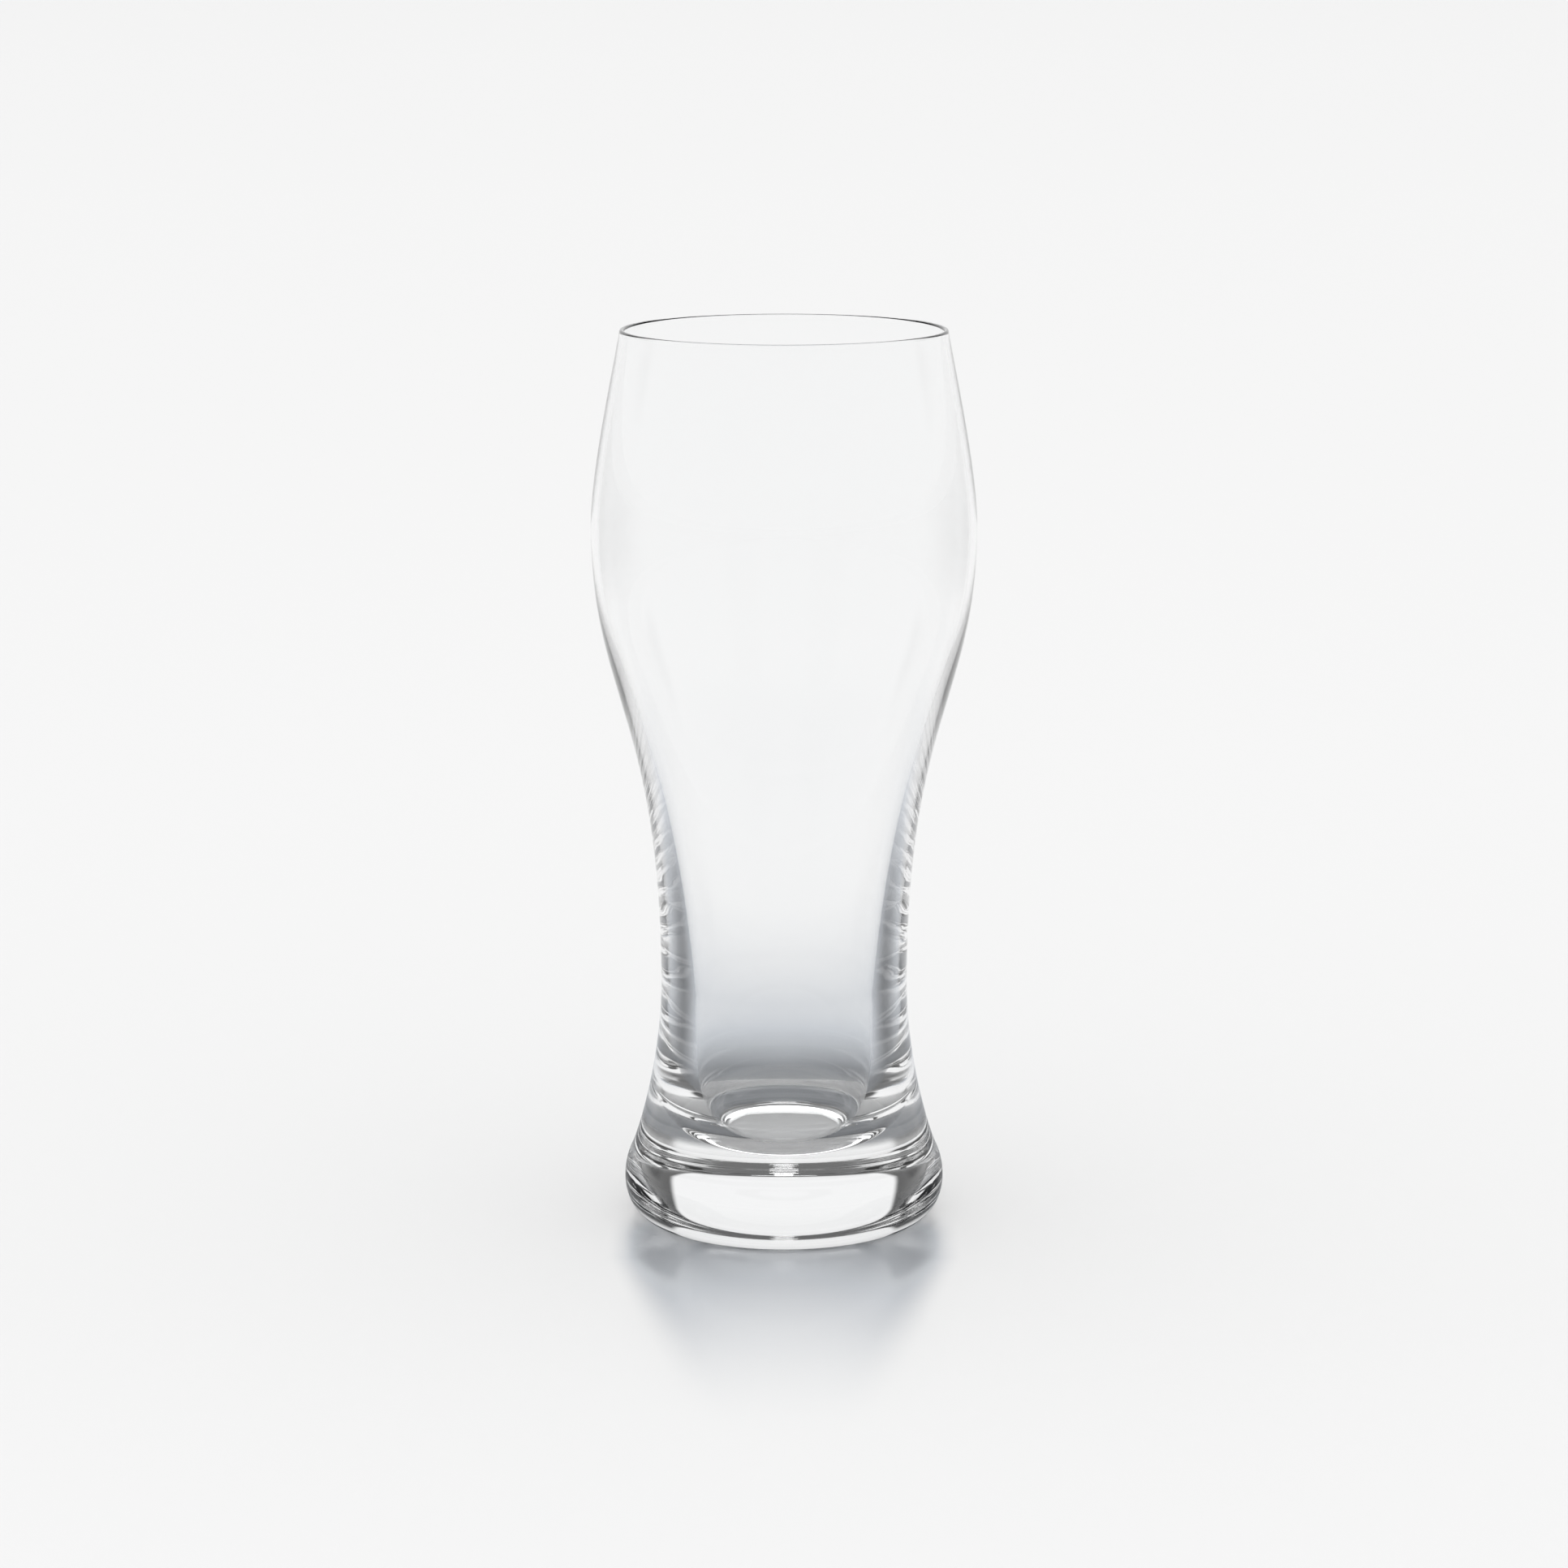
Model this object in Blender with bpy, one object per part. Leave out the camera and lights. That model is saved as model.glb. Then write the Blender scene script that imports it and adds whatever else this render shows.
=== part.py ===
"""A tall footed tumbler of clear glass: a blown bowl welded hot to a heavy pressed foot.

Metres, +Z up. The origin is on the axis in the plane of the standing ring, so heights are measured up
from the table.
"""

import math

import bmesh
import bpy
from mathutils import Vector
from mathutils.geometry import interpolate_bezier

# Outer shape
HEIGHT = 0.185
RIM_RADIUS = 0.0333
RIM_LEAN = math.radians(8.8)
BULGE_RADIUS = 0.0394
BULGE_BELOW_RIM = 0.0402
WAIST_RADIUS = 0.0256
WAIST_HEIGHT = 0.0497
FOOT_RADIUS = 0.0334
FOOT_WIDEST_HEIGHT = 0.0075
FOOT_SHOULDER_WIDTH = 0.0079
FOOT_SHOULDER_RISE = 0.0107
FOOT_SHOULDER_SWEEP = math.radians(33)

# Underside: a flat standing ring set in from the foot's widest line, and a shallow punt inside it
STAND_INSET = 0.0044
STAND_WIDTH = 0.0053
PUNT_RISE = 0.001

# Wall thickness, growing from the lip to the waist
RIM_WALL = 0.001
BULGE_WALL = 0.0015
WAIST_WALL = 0.0065
WAIST_TAPER = math.radians(5.4)

# Inside floor, with its rounded corner
FLOOR_HEIGHT = 0.0146
FLOOR_RADIUS = 0.0095

# Weld between bowl and foot: a dished seat, open by the weld gap
BOWL_BOTTOM_WALL = 0.0062
SEAT_DISH = 0.0105
WELD_GAP = 0.0003

# How full each curve is: the length of its end tangents as shares of the curve's rise
RIM_CURVE = (0.152, 0.29)
BELLY_CURVE = (0.371, 0.596)
FLARE_CURVE = (0.453, 0.11)
FOOT_EDGE_CURVE = (0.7, 0.28)
INNER_BELLY_CURVE = (0.355, 0.655)
WELL_CURVE = 0.42
FLOOR_CORNER_CURVE = 1.31

# Facets
TURN_STEPS = 48
BELLY_POINTS = 15
WELL_POINTS = 12
RIM_POINTS = 8
FLARE_POINTS = 8
SHOULDER_POINTS = 4
FOOT_EDGE_POINTS = 9
PUNT_POINTS = 5
LIP_POINTS = 7
SEAT_POINTS = 9
SMOOTH_ANGLE = math.radians(32)
MERGE_DISTANCE = 0.00001

# Clear glass with a breath of grey-blue in the thick foot
BOWL_COLOUR = (0.97, 0.98, 0.985, 1.0)
FOOT_COLOUR = (0.94, 0.955, 0.965, 1.0)
GLASS_ROUGHNESS = 0.02
GLASS_IOR = 1.52

UP = Vector((0.0, 1.0))
DOWN = Vector((0.0, -1.0))
OUTWARD = Vector((1.0, 0.0))


def clear_scene():
    for scene_object in list(bpy.data.objects):
        bpy.data.objects.remove(scene_object, do_unlink=True)


def leaning_down(lean):
    """Direction of a wall that runs down and outwards, in the (radius, height) plane."""
    return Vector((math.sin(lean), -math.cos(lean)))


def curve(start, start_pull, end_pull, end, count):
    """Points of a Bezier curve, whose pulls are measured from its own ends."""
    return interpolate_bezier(start, start + start_pull, end + end_pull, end, count)


def ellipse_arc(centre, width, rise, start, end, count):
    """Points on an ellipse from one angle to another, counted from the outward direction."""
    points = []
    for step in range(count):
        angle = start + (end - start) * step / (count - 1)
        points.append(centre + Vector((width * math.cos(angle), rise * math.sin(angle))))
    return points


def join(*stretches):
    """One outline from stretches that share their end points."""
    outline = list(stretches[0])
    for stretch in stretches[1:]:
        outline.extend(stretch[1:])
    return outline


def lip():
    """The fire-polished lip, half a circle from the inner wall over to the outer wall."""
    radius = RIM_WALL / 2
    centre = Vector((RIM_RADIUS - radius, HEIGHT - radius))
    return ellipse_arc(centre, radius, radius, math.pi + RIM_LEAN, RIM_LEAN, LIP_POINTS)


def outer_wall():
    """The outside from the lip down to the standing ring."""
    top = lip()[-1]
    bulge = Vector((BULGE_RADIUS, HEIGHT - BULGE_BELOW_RIM))
    waist = Vector((WAIST_RADIUS, WAIST_HEIGHT))
    shoulder_centre = Vector((FOOT_RADIUS - FOOT_SHOULDER_WIDTH, FOOT_WIDEST_HEIGHT))
    shoulder = ellipse_arc(
        shoulder_centre,
        FOOT_SHOULDER_WIDTH,
        FOOT_SHOULDER_RISE,
        FOOT_SHOULDER_SWEEP,
        0.0,
        SHOULDER_POINTS,
    )
    shoulder_tangent = Vector(
        (
            -FOOT_SHOULDER_WIDTH * math.sin(FOOT_SHOULDER_SWEEP),
            FOOT_SHOULDER_RISE * math.cos(FOOT_SHOULDER_SWEEP),
        )
    ).normalized()
    rim_rise = top.y - bulge.y
    belly_rise = bulge.y - waist.y
    flare_rise = waist.y - shoulder[0].y
    below_rim = curve(
        top,
        leaning_down(RIM_LEAN) * RIM_CURVE[0] * rim_rise,
        UP * RIM_CURVE[1] * rim_rise,
        bulge,
        RIM_POINTS,
    )
    belly = curve(
        bulge,
        DOWN * BELLY_CURVE[0] * belly_rise,
        UP * BELLY_CURVE[1] * belly_rise,
        waist,
        BELLY_POINTS,
    )
    flare = curve(
        waist,
        DOWN * FLARE_CURVE[0] * flare_rise,
        shoulder_tangent * FLARE_CURVE[1] * flare_rise,
        shoulder[0],
        FLARE_POINTS,
    )
    lower_edge = curve(
        shoulder[-1],
        DOWN * FOOT_EDGE_CURVE[0] * FOOT_WIDEST_HEIGHT,
        OUTWARD * FOOT_EDGE_CURVE[1] * STAND_INSET,
        Vector((FOOT_RADIUS - STAND_INSET, 0.0)),
        FOOT_EDGE_POINTS,
    )
    return join(below_rim, belly, flare, shoulder, lower_edge)


def underside():
    """The flat standing ring and the shallow punt that rises inside it to the axis."""
    stand_radius = FOOT_RADIUS - STAND_INSET
    punt_radius = stand_radius - STAND_WIDTH
    outline = [Vector((stand_radius, 0.0))]
    for step in range(PUNT_POINTS):
        out = 1 - step / (PUNT_POINTS - 1)
        outline.append(Vector((punt_radius * out, PUNT_RISE * (1 - out**2))))
    return outline


def inner_wall():
    """The inside from the middle of the floor up to the lip."""
    top = lip()[0]
    bulge = Vector((BULGE_RADIUS - BULGE_WALL, HEIGHT - BULGE_BELOW_RIM))
    waist = Vector((WAIST_RADIUS - WAIST_WALL, WAIST_HEIGHT))
    floor_edge = Vector((FLOOR_RADIUS, FLOOR_HEIGHT))
    floor_middle = Vector((0.0, FLOOR_HEIGHT))
    taper_up = -leaning_down(-WAIST_TAPER)
    well_rise = waist.y - floor_edge.y
    belly_rise = bulge.y - waist.y
    rim_rise = top.y - bulge.y
    corner_pull = FLOOR_CORNER_CURVE * (waist.x - floor_edge.x)
    well = curve(
        floor_edge,
        OUTWARD * corner_pull,
        -taper_up * WELL_CURVE * well_rise,
        waist,
        WELL_POINTS,
    )
    belly = curve(
        waist,
        taper_up * INNER_BELLY_CURVE[1] * belly_rise,
        DOWN * INNER_BELLY_CURVE[0] * belly_rise,
        bulge,
        BELLY_POINTS,
    )
    below_rim = curve(
        bulge,
        UP * RIM_CURVE[1] * rim_rise,
        leaning_down(RIM_LEAN) * RIM_CURVE[0] * rim_rise,
        top,
        RIM_POINTS,
    )
    return join([floor_middle, floor_edge], well, belly, below_rim)


def cut_at_height(outline, height):
    """Split a falling outline at a height: the stretch above it and the stretch below it."""
    for index, (upper, lower) in enumerate(zip(outline, outline[1:])):
        if lower.y <= height:
            cut = upper.lerp(lower, (upper.y - height) / (upper.y - lower.y))
            return outline[: index + 1] + [cut], [cut] + outline[index + 1 :]
    raise ValueError("the seat lies below the underside")


def seat_edge_height():
    """Where the weld meets the outside of the glass."""
    return FLOOR_HEIGHT - BOWL_BOTTOM_WALL + SEAT_DISH


def seat(edge):
    """The dished seat of the weld, an arc of a circle from its edge in to the axis."""
    radius = (edge.x**2 + SEAT_DISH**2) / (2 * SEAT_DISH)
    sweep = math.atan2(edge.x, radius - SEAT_DISH)
    centre = Vector((0.0, edge.y - SEAT_DISH + radius))
    straight_down = -math.pi / 2
    return ellipse_arc(centre, radius, radius, straight_down + sweep, straight_down, SEAT_POINTS)


def glass(name, colour):
    material = bpy.data.materials.new(name)
    material.use_nodes = True
    shader = material.node_tree.nodes["Principled BSDF"]
    shader.inputs["Base Color"].default_value = colour
    shader.inputs["Roughness"].default_value = GLASS_ROUGHNESS
    shader.inputs["Metallic"].default_value = 0.0
    shader.inputs["IOR"].default_value = GLASS_IOR
    shader.inputs["Transmission Weight"].default_value = 1.0
    return material


def turned_piece(name, outline, material, parent):
    """Turn an outline, which starts and ends on the axis, into one closed solid."""
    shape = bmesh.new()
    points = [shape.verts.new((point.x, 0.0, point.y)) for point in outline]
    lines = [shape.edges.new(pair) for pair in zip(points, points[1:])]
    bmesh.ops.spin(
        shape,
        geom=points + lines,
        cent=(0.0, 0.0, 0.0),
        axis=(0.0, 0.0, 1.0),
        angle=math.tau,
        steps=TURN_STEPS,
        use_merge=True,
    )
    bmesh.ops.remove_doubles(shape, verts=shape.verts, dist=MERGE_DISTANCE)
    bmesh.ops.recalc_face_normals(shape, faces=shape.faces)
    mesh = bpy.data.meshes.new(name)
    shape.to_mesh(mesh)
    shape.free()
    mesh.shade_smooth()
    mesh.set_sharp_from_angle(angle=SMOOTH_ANGLE)
    mesh.materials.append(material)
    piece = bpy.data.objects.new(name, mesh)
    piece.parent = parent
    bpy.context.collection.objects.link(piece)
    return piece


def bowl(parent):
    """The blown bowl, from its lip down to the dished bottom that is welded to the foot."""
    outside, _ = cut_at_height(outer_wall(), seat_edge_height())
    outline = join(inner_wall(), lip(), outside, seat(outside[-1]))
    return turned_piece("bowl", outline, glass("clear_bowl_glass", BOWL_COLOUR), parent)


def foot(parent):
    """The heavy foot, with a dish that follows the bowl's bottom and a ring to stand on."""
    _, outside = cut_at_height(outer_wall(), seat_edge_height() - WELD_GAP)
    outline = join(seat(outside[0])[::-1], outside, underside())
    return turned_piece("foot", outline, glass("clear_foot_glass", FOOT_COLOUR), parent)


def main():
    clear_scene()
    tumbler = bpy.data.objects.new("tumbler", None)
    bpy.context.collection.objects.link(tumbler)
    bowl(tumbler)
    foot(tumbler)


main()
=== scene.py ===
"""Looks of the footed tumbler: one clear turned glass on a pale studio table."""

import math

import bpy
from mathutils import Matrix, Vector
from mathutils.geometry import interpolate_bezier


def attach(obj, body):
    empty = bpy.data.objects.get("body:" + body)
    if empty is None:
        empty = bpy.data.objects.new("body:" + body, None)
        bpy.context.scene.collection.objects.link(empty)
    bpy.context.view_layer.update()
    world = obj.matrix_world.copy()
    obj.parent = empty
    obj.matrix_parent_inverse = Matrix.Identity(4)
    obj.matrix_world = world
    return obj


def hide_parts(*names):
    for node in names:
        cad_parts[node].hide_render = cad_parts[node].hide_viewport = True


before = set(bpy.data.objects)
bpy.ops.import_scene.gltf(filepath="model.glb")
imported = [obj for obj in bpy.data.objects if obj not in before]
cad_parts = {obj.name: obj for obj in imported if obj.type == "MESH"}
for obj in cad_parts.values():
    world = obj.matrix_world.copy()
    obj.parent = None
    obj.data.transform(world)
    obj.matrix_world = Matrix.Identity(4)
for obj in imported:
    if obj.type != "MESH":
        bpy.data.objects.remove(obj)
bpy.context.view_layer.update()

# Outer shape, in metres up from the table and out from the axis
HEIGHT = 0.185
RIM_RADIUS = 0.0333
RIM_LEAN = math.radians(8.8)
BULGE_RADIUS = 0.0394
BULGE_HEIGHT = 0.1448
WAIST_RADIUS = 0.0256
WAIST_HEIGHT = 0.0497
FOOT_RADIUS = 0.0334
FOOT_WIDEST_HEIGHT = 0.0075
FOOT_SHOULDER_WIDTH = 0.0079
FOOT_SHOULDER_RISE = 0.0107
FOOT_SHOULDER_SWEEP = math.radians(33)

# Underside: the flat standing ring and the punt inside it
STAND_INSET = 0.0044
STAND_WIDTH = 0.0053
PUNT_RISE = 0.001

# Walls and inside floor
RIM_WALL = 0.001
BULGE_WALL = 0.0015
WAIST_WALL = 0.0065
WAIST_TAPER = math.radians(5.4)
FLOOR_HEIGHT = 0.0146
FLOOR_RADIUS = 0.0095

# Curve fullness: end tangents as shares of a curve's rise
RIM_CURVE = (0.152, 0.29)
BELLY_CURVE = (0.371, 0.596)
FLARE_CURVE = (0.453, 0.11)
FOOT_EDGE_CURVE = (0.7, 0.28)
INNER_BELLY_CURVE = (0.355, 0.655)
WELL_CURVE = 0.42
FLOOR_CORNER_CURVE = 1.31

# Smoothness of the turned glass
TURN_STEPS = 128
POINT_SPACING = 0.0006
LEAST_POINTS = 6
LIP_POINTS = 13
SHOULDER_POINTS = 8
FOOT_EDGE_POINTS = 24
PUNT_POINTS = 18
MERGE_DISTANCE = 0.000002

# Ripples of the lower wall, left by the mould and strongest at its two seams, left and right
RIPPLE_DEPTH = 0.00002
RIPPLE_SEAM_FOCUS = 6.0
RIPPLE_LENGTH = 0.05
RIPPLE_HEIGHT = 0.0025
RIPPLE_DETAIL = 0.0
RIPPLE_START = (0.018, 0.028)
RIPPLE_END = (0.05, 0.09)

# Clear glass: a breath of grey in the thick foot, and a polish that varies a little
BOWL_TINT = (0.989, 0.991, 0.992, 1.0)
FOOT_TINT = (0.980, 0.985, 0.988, 1.0)
TINT_HEIGHT = (0.01, 0.07)
POLISH_SCALE = 90.0
POLISH_ROUGHNESS = 0.02
GLASS_IOR = 1.52

# Photograph's camera
CAMERA_PLACE = (0.0, -0.835, 0.2647)
CAMERA_PITCH = 0.205
CAMERA_LENS = 94.79
CAMERA_REACH = 200.0
SENSOR_WIDTH = 36.0

# Studio: a wide floor, even light on it, and a strip lamp behind and above
WHITE = (1.0, 1.0, 1.0, 1.0)
BACKDROP_WHITE = 0.9216
FLOOR_SIZE = 120.0
FLOOR_DROP = 0.0002
TABLE_LIGHT = 1.172
STRIP_SIZE = (0.5, 0.52)
STRIP_DISTANCE = 1.6
STRIP_ELEVATION = math.radians(57)
STRIP_POWER = 1.97

# White panels round the table with a dark gap on each side, as the glass sees them
PANEL_WHITE = 0.93
PANEL_TOP = (math.radians(36), math.radians(42))
GAP_INSIDE = (math.radians(32), math.radians(36))
GAP_OUTSIDE = (math.radians(70), math.radians(80))
GAP_FOOT = (math.radians(4), math.radians(10))
GAP_DARK = 0.03
CEILING_DARK = 0.13

# The table's colours by depth of painted shade
TABLE_COLOURS = (
    (0.0, (0.8, 0.8, 0.8, 1.0)),
    (0.3, (0.535, 0.56, 0.595, 1.0)),
    (1.0, (0.0, 0.0, 0.0, 1.0)),
)

# Soft shadow of the foot, painted on the table in front of it
FRONT_SHADE_DEPTH = 0.52
FRONT_SHADE_MIDDLE = 0.7
FRONT_SHADE_LENGTH = 0.105
FRONT_SHADE_FALL = 1.8
FRONT_SHADE_HALF = 0.0315
FRONT_SHADE_NARROWING = 0.2
FRONT_SHADE_EDGE = 0.005
FRONT_SHADE_BACK = (0.002, 0.02)

# Shade painted on the table round the foot, shown only where the glass bends or mirrors the view
TABLE_SHADE_REACH = 0.0517
TABLE_SHADE_DEPTH = 2.35
TABLE_SHADE_LESS = 0.055
TABLE_SHADE_MOST = 0.74

# Deeper painted shade to both sides, as only the solid walls and foot show it
TABLE_SIDE_INSIDE = (math.radians(6), math.radians(50))
TABLE_SIDE_OUTSIDE = (math.radians(50), math.radians(85))
TABLE_SIDE_REACH = (0.11, 0.24)
TABLE_SIDE_DEPTH = 0.8

# The table's gloss at a low angle, near the glass and far off
TABLE_GLOSS_STEP = (0.70, 0.88)
TABLE_OPEN_GLOSS_STEP = (0.65, 0.69)
TABLE_OPEN_GLOSS = 0.25
TABLE_GLOSS_REACH = (0.25, 0.5)
TABLE_FAR_GLOSS = 0.35
TABLE_ROUGHNESS = 0.25

# Ray counts: past its first diffuse hit a ray lights the table, and up to two passes cross solid glass alone
FIRST_DIFFUSE_HIT = 0.5
SOLID_GLASS_PASSES = 2.5
LIGHT_BOUNCES = 40
GLASS_BOUNCES = 32

UP = Vector((0.0, 1.0))
DOWN = Vector((0.0, -1.0))
OUTWARD = Vector((1.0, 0.0))


def leaning_down(lean):
    """Direction of a wall that runs down and outwards, in the (radius, height) plane."""
    return Vector((math.sin(lean), -math.cos(lean)))


def curve(start, start_pull, end_pull, end, least=LEAST_POINTS):
    """Bezier points about one point spacing apart, with pulls measured from the curve's own ends."""
    count = max(least, round((end - start).length / POINT_SPACING))
    return interpolate_bezier(start, start + start_pull, end + end_pull, end, count)


def ellipse_arc(centre, width, rise, start, end, count):
    """Points on an ellipse between two angles, counted from the outward direction."""
    points = []
    for step in range(count):
        angle = start + (end - start) * step / (count - 1)
        points.append(centre + Vector((width * math.cos(angle), rise * math.sin(angle))))
    return points


def join(*stretches):
    """One outline from stretches that share their end points."""
    outline = list(stretches[0])
    for stretch in stretches[1:]:
        outline.extend(stretch[1:])
    return outline


def lip():
    """The fire-polished lip, half a circle from the inner wall over to the outer wall."""
    radius = RIM_WALL / 2
    centre = Vector((RIM_RADIUS - radius, HEIGHT - radius))
    return ellipse_arc(centre, radius, radius, math.pi + RIM_LEAN, RIM_LEAN, LIP_POINTS)


def outer_wall():
    """The outside from the lip down to the middle of the underside."""
    top = lip()[-1]
    bulge = Vector((BULGE_RADIUS, BULGE_HEIGHT))
    waist = Vector((WAIST_RADIUS, WAIST_HEIGHT))
    shoulder = ellipse_arc(
        Vector((FOOT_RADIUS - FOOT_SHOULDER_WIDTH, FOOT_WIDEST_HEIGHT)),
        FOOT_SHOULDER_WIDTH,
        FOOT_SHOULDER_RISE,
        FOOT_SHOULDER_SWEEP,
        0.0,
        SHOULDER_POINTS,
    )
    along_shoulder = Vector(
        (
            -FOOT_SHOULDER_WIDTH * math.sin(FOOT_SHOULDER_SWEEP),
            FOOT_SHOULDER_RISE * math.cos(FOOT_SHOULDER_SWEEP),
        )
    ).normalized()
    rim_rise = top.y - bulge.y
    belly_rise = bulge.y - waist.y
    flare_rise = waist.y - shoulder[0].y
    below_rim = curve(
        top,
        leaning_down(RIM_LEAN) * RIM_CURVE[0] * rim_rise,
        UP * RIM_CURVE[1] * rim_rise,
        bulge,
    )
    belly = curve(
        bulge,
        DOWN * BELLY_CURVE[0] * belly_rise,
        UP * BELLY_CURVE[1] * belly_rise,
        waist,
    )
    flare = curve(
        waist,
        DOWN * FLARE_CURVE[0] * flare_rise,
        along_shoulder * FLARE_CURVE[1] * flare_rise,
        shoulder[0],
    )
    lower_edge = curve(
        shoulder[-1],
        DOWN * FOOT_EDGE_CURVE[0] * FOOT_WIDEST_HEIGHT,
        OUTWARD * FOOT_EDGE_CURVE[1] * STAND_INSET,
        Vector((FOOT_RADIUS - STAND_INSET, 0.0)),
        FOOT_EDGE_POINTS,
    )
    return join(below_rim, belly, flare, shoulder, lower_edge, underside())


def underside():
    """The flat standing ring and the shallow punt inside it."""
    stand_radius = FOOT_RADIUS - STAND_INSET
    ring_inside = stand_radius - STAND_WIDTH
    points = [Vector((stand_radius, 0.0)), Vector((stand_radius - STAND_WIDTH / 2, 0.0))]
    for step in range(PUNT_POINTS):
        share = 1 - step / (PUNT_POINTS - 1)
        points.append(Vector((ring_inside * share, PUNT_RISE * (1 - share**2))))
    return points


def inner_wall():
    """The inside from the middle of the floor up to the lip."""
    top = lip()[0]
    bulge = Vector((BULGE_RADIUS - BULGE_WALL, BULGE_HEIGHT))
    waist = Vector((WAIST_RADIUS - WAIST_WALL, WAIST_HEIGHT))
    floor_middle = Vector((0.0, FLOOR_HEIGHT))
    floor_halfway = Vector((FLOOR_RADIUS / 2, FLOOR_HEIGHT))
    floor_edge = Vector((FLOOR_RADIUS, FLOOR_HEIGHT))
    taper_up = -leaning_down(-WAIST_TAPER)
    well_rise = waist.y - floor_edge.y
    belly_rise = bulge.y - waist.y
    rim_rise = top.y - bulge.y
    corner_pull = FLOOR_CORNER_CURVE * (waist.x - floor_edge.x)
    well = curve(
        floor_edge,
        OUTWARD * corner_pull,
        -taper_up * WELL_CURVE * well_rise,
        waist,
    )
    belly = curve(
        waist,
        taper_up * INNER_BELLY_CURVE[1] * belly_rise,
        DOWN * INNER_BELLY_CURVE[0] * belly_rise,
        bulge,
    )
    below_rim = curve(
        bulge,
        UP * RIM_CURVE[1] * rim_rise,
        leaning_down(RIM_LEAN) * RIM_CURVE[0] * rim_rise,
        top,
    )
    return join([floor_middle, floor_halfway, floor_edge], well, belly, below_rim)


class Wiring:
    """Short names for adding linked nodes to one tree."""

    def __init__(self, tree):
        self.nodes = tree.nodes
        self.links = tree.links

    def node(self, kind, *values, **settings):
        """A new node with its settings made and its first sockets fed."""
        made = self.nodes.new(kind)
        for name, setting in settings.items():
            setattr(made, name, setting)
        for socket, value in zip(made.inputs, values):
            self.feed(socket, value)
        return made

    def feed(self, socket, value):
        """Link an output to a socket, or set the socket to a plain value."""
        if hasattr(value, "is_output"):
            self.links.new(value, socket)
        else:
            socket.default_value = value

    def maths(self, operation, *values):
        """One operation on numbers."""
        return self.node("ShaderNodeMath", *values, operation=operation).outputs[0]

    def vector_maths(self, operation, *values):
        """One operation on vectors that gives a vector."""
        return self.node("ShaderNodeVectorMath", *values, operation=operation).outputs[0]

    def turned_aside(self, vector):
        """The angle between a vector's level direction and straight back."""
        x, y, _ = self.node("ShaderNodeSeparateXYZ", vector).outputs
        return self.maths("ARCTAN2", self.maths("ABSOLUTE", x), y)

    def step(self, value, low, high):
        """0 below low, 1 above high and smooth between."""
        made = self.node("ShaderNodeMapRange", value, low, high, interpolation_type="SMOOTHSTEP")
        return made.outputs["Result"]

    def mix(self, share, first, second):
        """The first value at share 0, the second at share 1."""
        made = self.node("ShaderNodeMix", share, data_type="FLOAT")
        self.feed(made.inputs["A"], first)
        self.feed(made.inputs["B"], second)
        return made.outputs["Result"]

    def between(self, value, rise, fall):
        """1 between two steps, 0 before the first and after the second."""
        return self.maths("SUBTRACT", self.step(value, *rise), self.step(value, *fall))

    def seen_by_glass(self, rays):
        """1 for a ray that the glass has bent or mirrored on its way from the eye, otherwise 0."""
        bent = self.maths("MAXIMUM", rays["Is Transmission Ray"], rays["Is Glossy Ray"])
        from_eye = self.maths("LESS_THAN", rays["Diffuse Depth"], FIRST_DIFFUSE_HIT)
        return self.maths("MULTIPLY", bent, from_eye)


def clear_glass():
    """Clear glass, tinted a little more towards the foot, with an uneven polish."""
    material = bpy.data.materials.new("clear_glass")
    material.use_nodes = True
    wiring = Wiring(material.node_tree)
    shader = wiring.nodes["Principled BSDF"]
    shader.inputs["IOR"].default_value = GLASS_IOR
    shader.inputs["Transmission Weight"].default_value = 1.0
    place = wiring.node("ShaderNodeTexCoord").outputs["Object"]
    height = wiring.node("ShaderNodeSeparateXYZ", place).outputs["Z"]
    tint = wiring.node("ShaderNodeMix", wiring.step(height, *TINT_HEIGHT), data_type="RGBA")
    tint.inputs["A"].default_value = FOOT_TINT
    tint.inputs["B"].default_value = BOWL_TINT
    wiring.feed(shader.inputs["Base Color"], tint.outputs["Result"])
    polish = wiring.node("ShaderNodeTexNoise")
    wiring.feed(polish.inputs["Vector"], place)
    polish.inputs["Scale"].default_value = POLISH_SCALE
    wiring.feed(shader.inputs["Roughness"], wiring.maths("MULTIPLY", polish.outputs[0], POLISH_ROUGHNESS))
    return material


def name_sockets(interface):
    """The turning tree's inputs, by name, and its one output."""
    interface.new_socket("Outline", in_out="INPUT", socket_type="NodeSocketGeometry")
    for count in ("Outline Points", "Turn Steps"):
        interface.new_socket(count, in_out="INPUT", socket_type="NodeSocketInt")
    for size in ("Ripple Depth", "Ripple Length", "Ripple Height", "Seam Focus", "Merge Distance"):
        interface.new_socket(size, in_out="INPUT", socket_type="NodeSocketFloat")
    interface.new_socket("Glass", in_out="INPUT", socket_type="NodeSocketMaterial")
    interface.new_socket("Geometry", in_out="OUTPUT", socket_type="NodeSocketGeometry")


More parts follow.
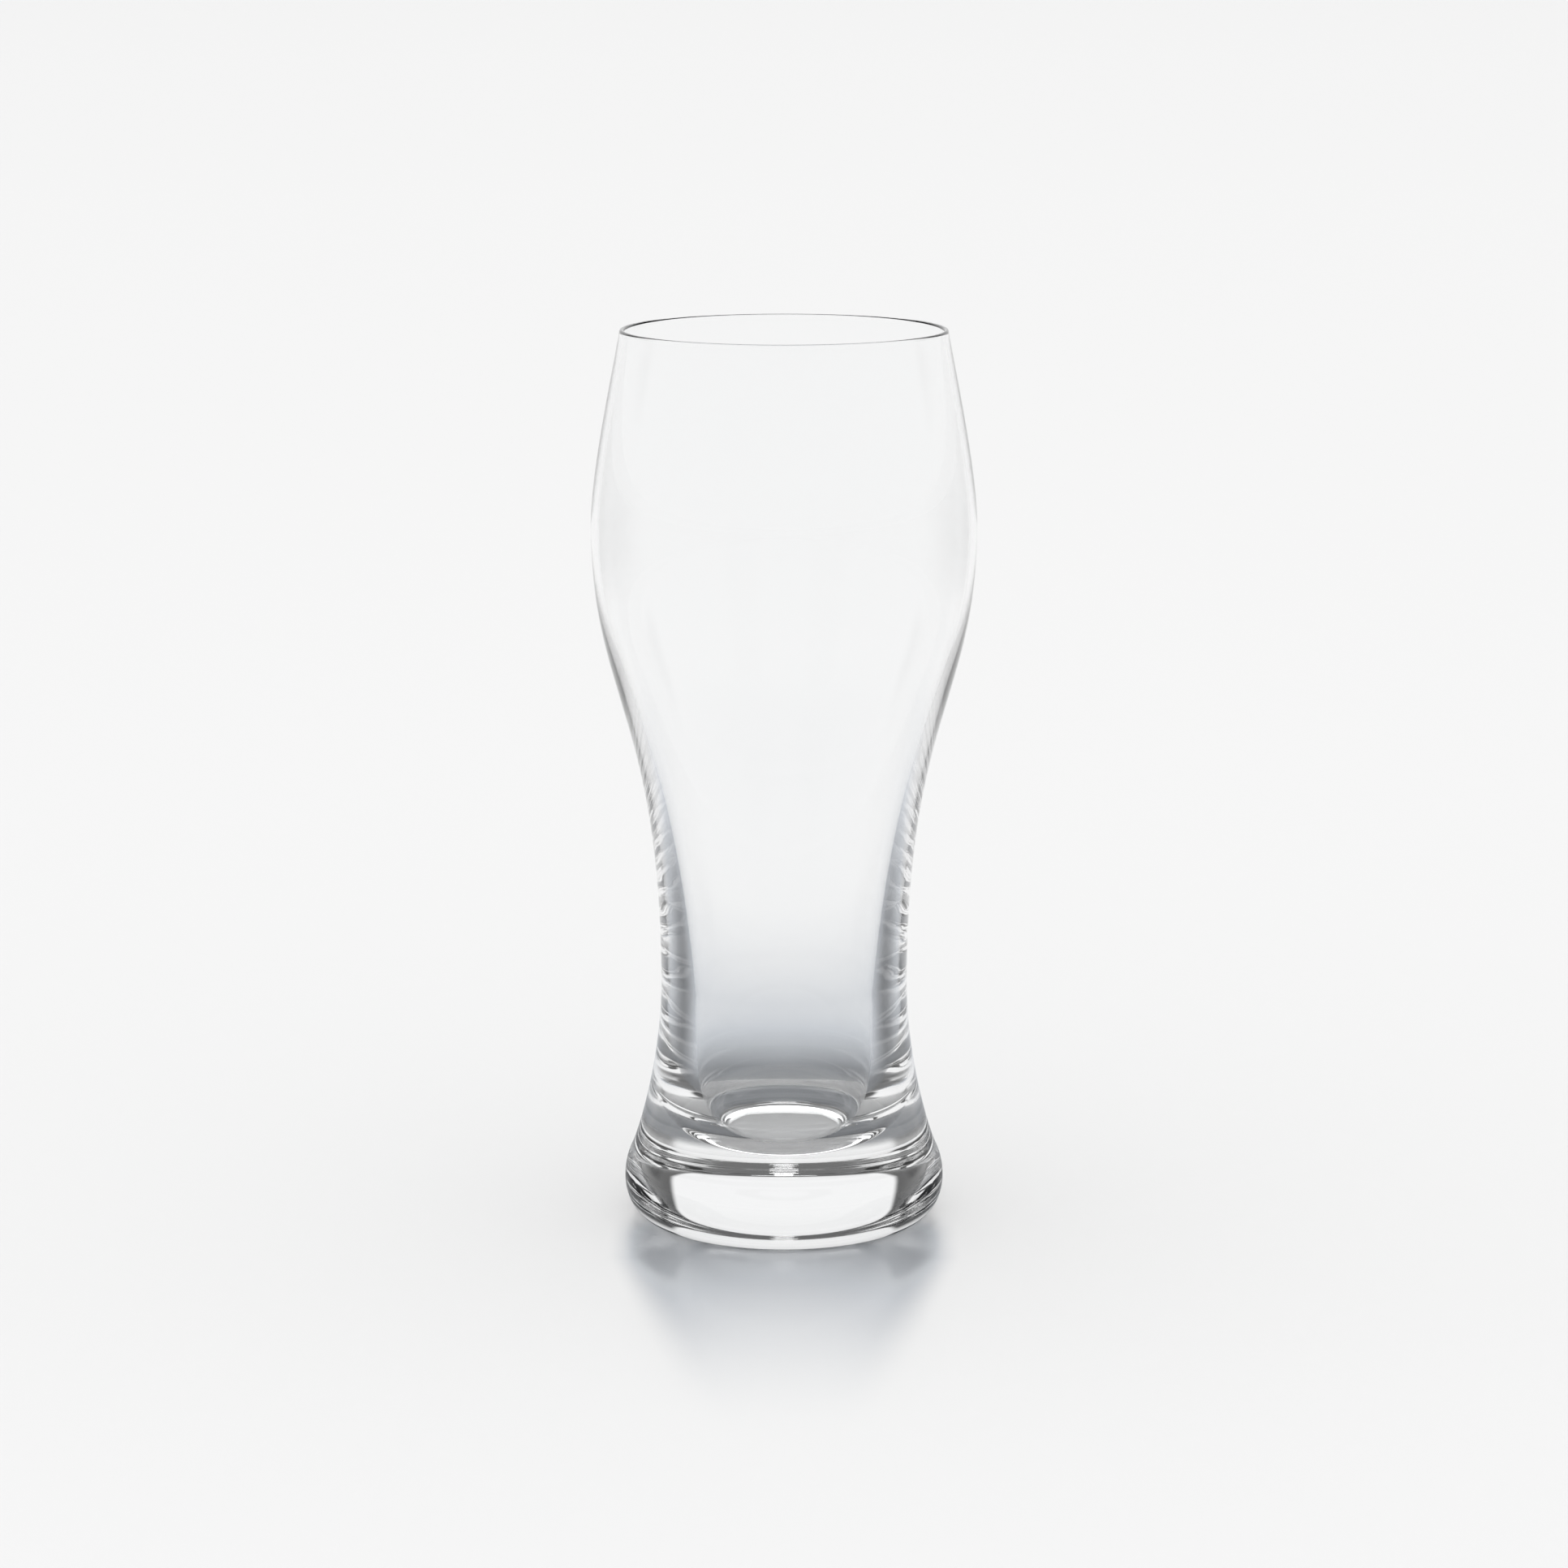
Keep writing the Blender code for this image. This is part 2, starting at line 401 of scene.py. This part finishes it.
def ripple_offset(wiring, sizes, place, share):
    """How far the ripples push a place on the wall in or out, most at the two seams."""
    length, height = sizes["Ripple Length"], sizes["Ripple Height"]
    wave_size = wiring.node("ShaderNodeCombineXYZ", length, length, height).outputs[0]
    noise = wiring.node("ShaderNodeTexNoise", normalize=False)
    wiring.feed(noise.inputs["Vector"], wiring.vector_maths("DIVIDE", place, wave_size))
    noise.inputs["Scale"].default_value = 1.0
    noise.inputs["Detail"].default_value = RIPPLE_DETAIL
    level = wiring.vector_maths("MULTIPLY", place, (1.0, 1.0, 0.0))
    outward = wiring.vector_maths("NORMALIZE", level)
    sideways = wiring.maths("ABSOLUTE", wiring.node("ShaderNodeSeparateXYZ", outward).outputs["X"])
    by_seam = wiring.maths("POWER", sideways, sizes["Seam Focus"])
    depth = wiring.maths("MULTIPLY", wiring.maths("MULTIPLY", share, by_seam), sizes["Ripple Depth"])
    offset = wiring.node("ShaderNodeVectorMath", outward, operation="SCALE")
    wiring.feed(offset.inputs["Scale"], wiring.maths("MULTIPLY", noise.outputs[0], depth))
    return offset.outputs[0]


def turning_tree():
    """Geometry Nodes that turn an outline of points round the axis into a closed, slightly rippled glass."""
    tree = bpy.data.node_groups.new("turned_glass", "GeometryNodeTree")
    name_sockets(tree.interface)
    wiring = Wiring(tree)
    sizes = wiring.node("NodeGroupInput").outputs

    # A flat grid, whose rows follow the outline and whose columns go round
    around = wiring.maths("ADD", sizes["Turn Steps"], 1)
    grid = wiring.node("GeometryNodeMeshGrid")
    wiring.feed(grid.inputs["Vertices X"], sizes["Outline Points"])
    wiring.feed(grid.inputs["Vertices Y"], around)
    index = wiring.node("GeometryNodeInputIndex").outputs[0]
    along = wiring.maths("FLOOR", wiring.maths("DIVIDE", index, around))
    step = wiring.maths("MODULO", index, around)
    turn = wiring.maths("MULTIPLY", wiring.maths("DIVIDE", step, sizes["Turn Steps"]), math.tau)

    def of_outline(value, kind):
        sampled = wiring.node("GeometryNodeSampleIndex", data_type=kind, domain="POINT")
        wiring.feed(sampled.inputs["Geometry"], sizes["Outline"])
        wiring.feed(sampled.inputs["Value"], value)
        wiring.feed(sampled.inputs["Index"], along)
        return sampled.outputs[0]

    # Each point takes its place on the outline, turns round the axis and ripples
    place = of_outline(wiring.node("GeometryNodeInputPosition").outputs[0], "FLOAT_VECTOR")
    share = of_outline(wiring.node("GeometryNodeInputNamedAttribute", "ripple").outputs[0], "FLOAT")
    rotated = wiring.node("ShaderNodeVectorRotate", rotation_type="Z_AXIS")
    wiring.feed(rotated.inputs["Vector"], place)
    wiring.feed(rotated.inputs["Angle"], turn)
    turned = rotated.outputs[0]
    placed = wiring.node("GeometryNodeSetPosition", grid.outputs["Mesh"])
    wiring.feed(placed.inputs["Position"], turned)
    wiring.feed(placed.inputs["Offset"], ripple_offset(wiring, sizes, turned, share))

    # The first and last columns close, and so do the two ends on the axis
    merged = wiring.node("GeometryNodeMergeByDistance", placed.outputs[0])
    wiring.feed(merged.inputs["Distance"], sizes["Merge Distance"])
    smooth = wiring.node("GeometryNodeSetShadeSmooth", merged.outputs[0])
    realized = wiring.node("GeometryNodeRealizeInstances", smooth.outputs[0])
    finished = wiring.node("GeometryNodeSetMaterial", realized.outputs[0])
    wiring.feed(finished.inputs["Material"], sizes["Glass"])
    wiring.node("NodeGroupOutput", finished.outputs[0])
    return tree


def set_inputs(modifier, **values):
    """Set a modifier's inputs by the names of their sockets, underscores for spaces."""
    for socket in modifier.node_group.interface.items_tree:
        key = socket.name.replace(" ", "_")
        if key in values:
            modifier[socket.identifier] = values[key]


def rise_between(value, low, high):
    """0 below low, 1 above high and smooth between."""
    share = min(1.0, max(0.0, (value - low) / (high - low)))
    return share * share * (3 - 2 * share)


def ripple_share(point):
    """How strongly a point of the wall ripples, by its height."""
    return rise_between(point.y, *RIPPLE_START) * (1 - rise_between(point.y, *RIPPLE_END))


def turned_glass():
    """The whole glass, bowl and foot in one, as a plain mesh."""
    inside = join(inner_wall(), lip())
    outside = outer_wall()[1:]
    outline = inside + outside
    shares = [-ripple_share(point) for point in inside] + [ripple_share(point) for point in outside]
    places = [(point.x, 0.0, point.y) for point in outline]
    lines = [(start, start + 1) for start in range(len(outline) - 1)]
    outline_mesh = bpy.data.meshes.new("glass_outline")
    outline_mesh.from_pydata(places, lines, [])
    outline_mesh.attributes.new("ripple", "FLOAT", "POINT").data.foreach_set("value", shares)
    pattern = bpy.data.objects.new("glass_outline", outline_mesh)
    bpy.context.collection.objects.link(pattern)
    turning = pattern.modifiers.new("turning", "NODES")
    turning.node_group = turning_tree()
    set_inputs(
        turning,
        Outline_Points=len(outline),
        Turn_Steps=TURN_STEPS,
        Ripple_Depth=RIPPLE_DEPTH,
        Ripple_Length=RIPPLE_LENGTH,
        Ripple_Height=RIPPLE_HEIGHT,
        Seam_Focus=RIPPLE_SEAM_FOCUS,
        Merge_Distance=MERGE_DISTANCE,
        Glass=clear_glass(),
    )
    evaluated = pattern.evaluated_get(bpy.context.evaluated_depsgraph_get())
    mesh = bpy.data.meshes.new_from_object(evaluated)
    pattern.modifiers.remove(turning)
    bpy.data.objects.remove(pattern)
    glass = bpy.data.objects.new("tumbler_glass", mesh)
    bpy.context.collection.objects.link(glass)
    return glass


def studio_floor():
    """The table top, wide enough to fill the view behind the glass."""
    half = FLOOR_SIZE / 2
    mesh = bpy.data.meshes.new("studio_floor")
    corners = [(-half, -half), (half, -half), (half, half), (-half, half)]
    mesh.from_pydata([(x, y, -FLOOR_DROP) for x, y in corners], [], [(0, 1, 2, 3)])
    floor = bpy.data.objects.new("studio_floor", mesh)
    bpy.context.collection.objects.link(floor)
    mesh.materials.append(pale_table())


def painted_front_shade(wiring, place):
    """The foot's soft shadow painted on the table, which narrows and fades as it runs forward and is deepest
    at its two sides.
    """
    x, y, _ = wiring.node("ShaderNodeSeparateXYZ", place).outputs
    forward = wiring.maths("MULTIPLY", y, -1.0)
    past_foot = wiring.maths("MAXIMUM", wiring.maths("SUBTRACT", forward, FOOT_RADIUS), 0.0)
    run = wiring.maths("DIVIDE", past_foot, FRONT_SHADE_LENGTH)
    remaining = wiring.maths("MAXIMUM", wiring.maths("SUBTRACT", 1.0, run), 0.0)
    fall = wiring.maths("POWER", remaining, FRONT_SHADE_FALL)
    narrowing = wiring.maths("MULTIPLY", past_foot, FRONT_SHADE_NARROWING)
    half = wiring.maths("SUBTRACT", FRONT_SHADE_HALF, narrowing)
    sideways = wiring.maths("ABSOLUTE", x)
    past_side = wiring.maths("SUBTRACT", sideways, half)
    outside = wiring.step(past_side, -FRONT_SHADE_EDGE, FRONT_SHADE_EDGE)
    within = wiring.maths("SUBTRACT", 1.0, outside)
    lobes = wiring.mix(wiring.step(sideways, 0.0, FRONT_SHADE_HALF), FRONT_SHADE_MIDDLE, 1.0)
    in_front = wiring.step(forward, *FRONT_SHADE_BACK)
    shape = wiring.maths("MULTIPLY", wiring.maths("MULTIPLY", fall, within), in_front)
    depth = wiring.maths("MULTIPLY", lobes, FRONT_SHADE_DEPTH)
    return wiring.maths("MULTIPLY", shape, depth)


def painted_shade_in_glass(wiring, place, distance, rays):
    """Painted shade round the foot that the glass shows, and the deeper painted shade to both sides in solid
    glass.
    """
    fade = wiring.maths("POWER", math.e, wiring.maths("DIVIDE", distance, -TABLE_SHADE_REACH))
    shade = wiring.maths("SUBTRACT", wiring.maths("MULTIPLY", fade, TABLE_SHADE_DEPTH), TABLE_SHADE_LESS)
    shade = wiring.maths("MAXIMUM", wiring.maths("MINIMUM", shade, TABLE_SHADE_MOST), 0.0)
    past_foot = wiring.maths("GREATER_THAN", distance, FOOT_RADIUS - STAND_INSET)
    beside = wiring.between(wiring.turned_aside(place), TABLE_SIDE_INSIDE, TABLE_SIDE_OUTSIDE)
    side_shade = wiring.mix(wiring.step(distance, *TABLE_SIDE_REACH), TABLE_SIDE_DEPTH, 0.0)
    by_solid_glass = wiring.maths("LESS_THAN", rays["Transmission Depth"], SOLID_GLASS_PASSES)
    beside = wiring.maths("MULTIPLY", beside, by_solid_glass)
    return wiring.maths("MULTIPLY", wiring.mix(beside, shade, side_shade), past_foot)


def table_gloss(wiring, distance, through_glass):
    """How glossy the table is at a low angle: more near the glass when seen through it, less far off."""
    facing = wiring.node("ShaderNodeLayerWeight").outputs["Facing"]
    open_gloss = wiring.maths("MULTIPLY", wiring.step(facing, *TABLE_OPEN_GLOSS_STEP), TABLE_OPEN_GLOSS)
    low_gloss = wiring.step(facing, *TABLE_GLOSS_STEP)
    far = wiring.step(distance, *TABLE_GLOSS_REACH)
    gloss = wiring.mix(wiring.maths("MAXIMUM", through_glass, far), open_gloss, low_gloss)
    return wiring.maths("MULTIPLY", gloss, wiring.mix(far, 1.0, TABLE_FAR_GLOSS))


def pale_table():
    """A pale table with the foot's soft shadow painted on it, and with the painted shade and the real gloss
    that the glass shows.
    """
    material = bpy.data.materials.new("pale_table")
    material.use_nodes = True
    wiring = Wiring(material.node_tree)
    shader = wiring.nodes["Principled BSDF"]
    shader.inputs["Roughness"].default_value = 1.0
    shader.inputs["Specular IOR Level"].default_value = 0.0
    rays = wiring.node("ShaderNodeLightPath").outputs
    place = wiring.node("ShaderNodeTexCoord").outputs["Object"]
    distance = wiring.node("ShaderNodeVectorMath", place, operation="LENGTH").outputs["Value"]
    painted_glass_shade = painted_shade_in_glass(wiring, place, distance, rays)
    # Painted shade sets the table's colour: the foot's painted shadow in general, the painted shade round
    # the foot for rays the glass bent or mirrored
    shade = wiring.mix(wiring.seen_by_glass(rays), painted_front_shade(wiring, place), painted_glass_shade)
    colours = wiring.node("ShaderNodeValToRGB", shade)
    colours.color_ramp.elements.new(TABLE_COLOURS[1][0])
    for stop, (position, colour) in zip(colours.color_ramp.elements, TABLE_COLOURS):
        stop.position = position
        stop.color = colour
    wiring.feed(shader.inputs["Base Color"], colours.outputs["Color"])
    mirror = wiring.node("ShaderNodeBsdfGlossy")
    mirror.inputs["Color"].default_value = WHITE
    mirror.inputs["Roughness"].default_value = TABLE_ROUGHNESS
    gloss = table_gloss(wiring, distance, rays["Is Transmission Ray"])
    both = wiring.node("ShaderNodeMixShader", gloss, shader.outputs[0], mirror.outputs[0])
    wiring.links.new(both.outputs[0], wiring.nodes["Material Output"].inputs["Surface"])
    return material


def studio_light():
    """Even light on the table, and the white panels, dark gaps and dark ceiling that the glass shows."""
    world = bpy.data.worlds.new("studio")
    world.cycles.sampling_method = "NONE"
    bpy.context.scene.world = world
    world.use_nodes = True
    wiring = Wiring(world.node_tree)
    rays = wiring.node("ShaderNodeLightPath").outputs
    lighting = wiring.maths("GREATER_THAN", rays["Diffuse Depth"], FIRST_DIFFUSE_HIT)
    plain = wiring.nodes["Background"]
    plain.inputs["Color"].default_value = WHITE
    wiring.feed(plain.inputs["Strength"], wiring.mix(lighting, BACKDROP_WHITE, TABLE_LIGHT))
    toward = wiring.node("ShaderNodeTexCoord").outputs["Generated"]
    height = wiring.node("ShaderNodeSeparateXYZ", toward).outputs["Z"]
    aside = wiring.between(wiring.turned_aside(toward), GAP_INSIDE, GAP_OUTSIDE)
    raised = wiring.step(height, *[math.sin(angle) for angle in GAP_FOOT])
    in_gap = wiring.maths("MULTIPLY", aside, raised)
    above = wiring.step(height, *[math.sin(angle) for angle in PANEL_TOP])
    brightness = wiring.mix(above, wiring.mix(in_gap, PANEL_WHITE, GAP_DARK), CEILING_DARK)
    panels = wiring.node("ShaderNodeBackground", WHITE, brightness)
    by_glass = wiring.seen_by_glass(rays)
    both = wiring.node("ShaderNodeMixShader", by_glass, plain.outputs[0], panels.outputs[0])
    wiring.links.new(both.outputs[0], wiring.nodes["World Output"].inputs["Surface"])


def strip_light():
    """A strip lamp behind and above, seen only through the glass, as the bright arc in its foot."""
    lamp = bpy.data.lights.new("strip_light", "AREA")
    lamp.shape = "RECTANGLE"
    lamp.size, lamp.size_y = STRIP_SIZE
    lamp.energy = STRIP_POWER
    strip = bpy.data.objects.new("strip_light", lamp)
    strip.location = (
        0.0,
        STRIP_DISTANCE * math.cos(STRIP_ELEVATION),
        STRIP_DISTANCE * math.sin(STRIP_ELEVATION),
    )
    strip.rotation_euler = (-(math.pi / 2 - STRIP_ELEVATION), 0.0, 0.0)
    strip.visible_diffuse = False
    strip.visible_glossy = False
    bpy.context.collection.objects.link(strip)


def camera():
    """The photograph's view, level from side to side and tipped down."""
    lens = bpy.data.cameras.new("camera")
    lens.lens = CAMERA_LENS
    lens.sensor_width = SENSOR_WIDTH
    lens.clip_end = CAMERA_REACH
    eye = bpy.data.objects.new("camera", lens)
    eye.location = CAMERA_PLACE
    eye.rotation_euler = (math.pi / 2 - CAMERA_PITCH, 0.0, 0.0)
    bpy.context.collection.objects.link(eye)
    bpy.context.scene.camera = eye


glass = turned_glass()
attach(glass, "root")
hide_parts("bowl", "foot")
studio_floor()
studio_light()
strip_light()
camera()

# Plain colours, and light that runs on through the glass with nothing clamped
bpy.context.scene.view_settings.view_transform = "Standard"
bpy.context.scene.cycles.sample_clamp_indirect = 0.0
bpy.context.scene.cycles.max_bounces = LIGHT_BOUNCES
bpy.context.scene.cycles.glossy_bounces = GLASS_BOUNCES
bpy.context.scene.cycles.transmission_bounces = GLASS_BOUNCES
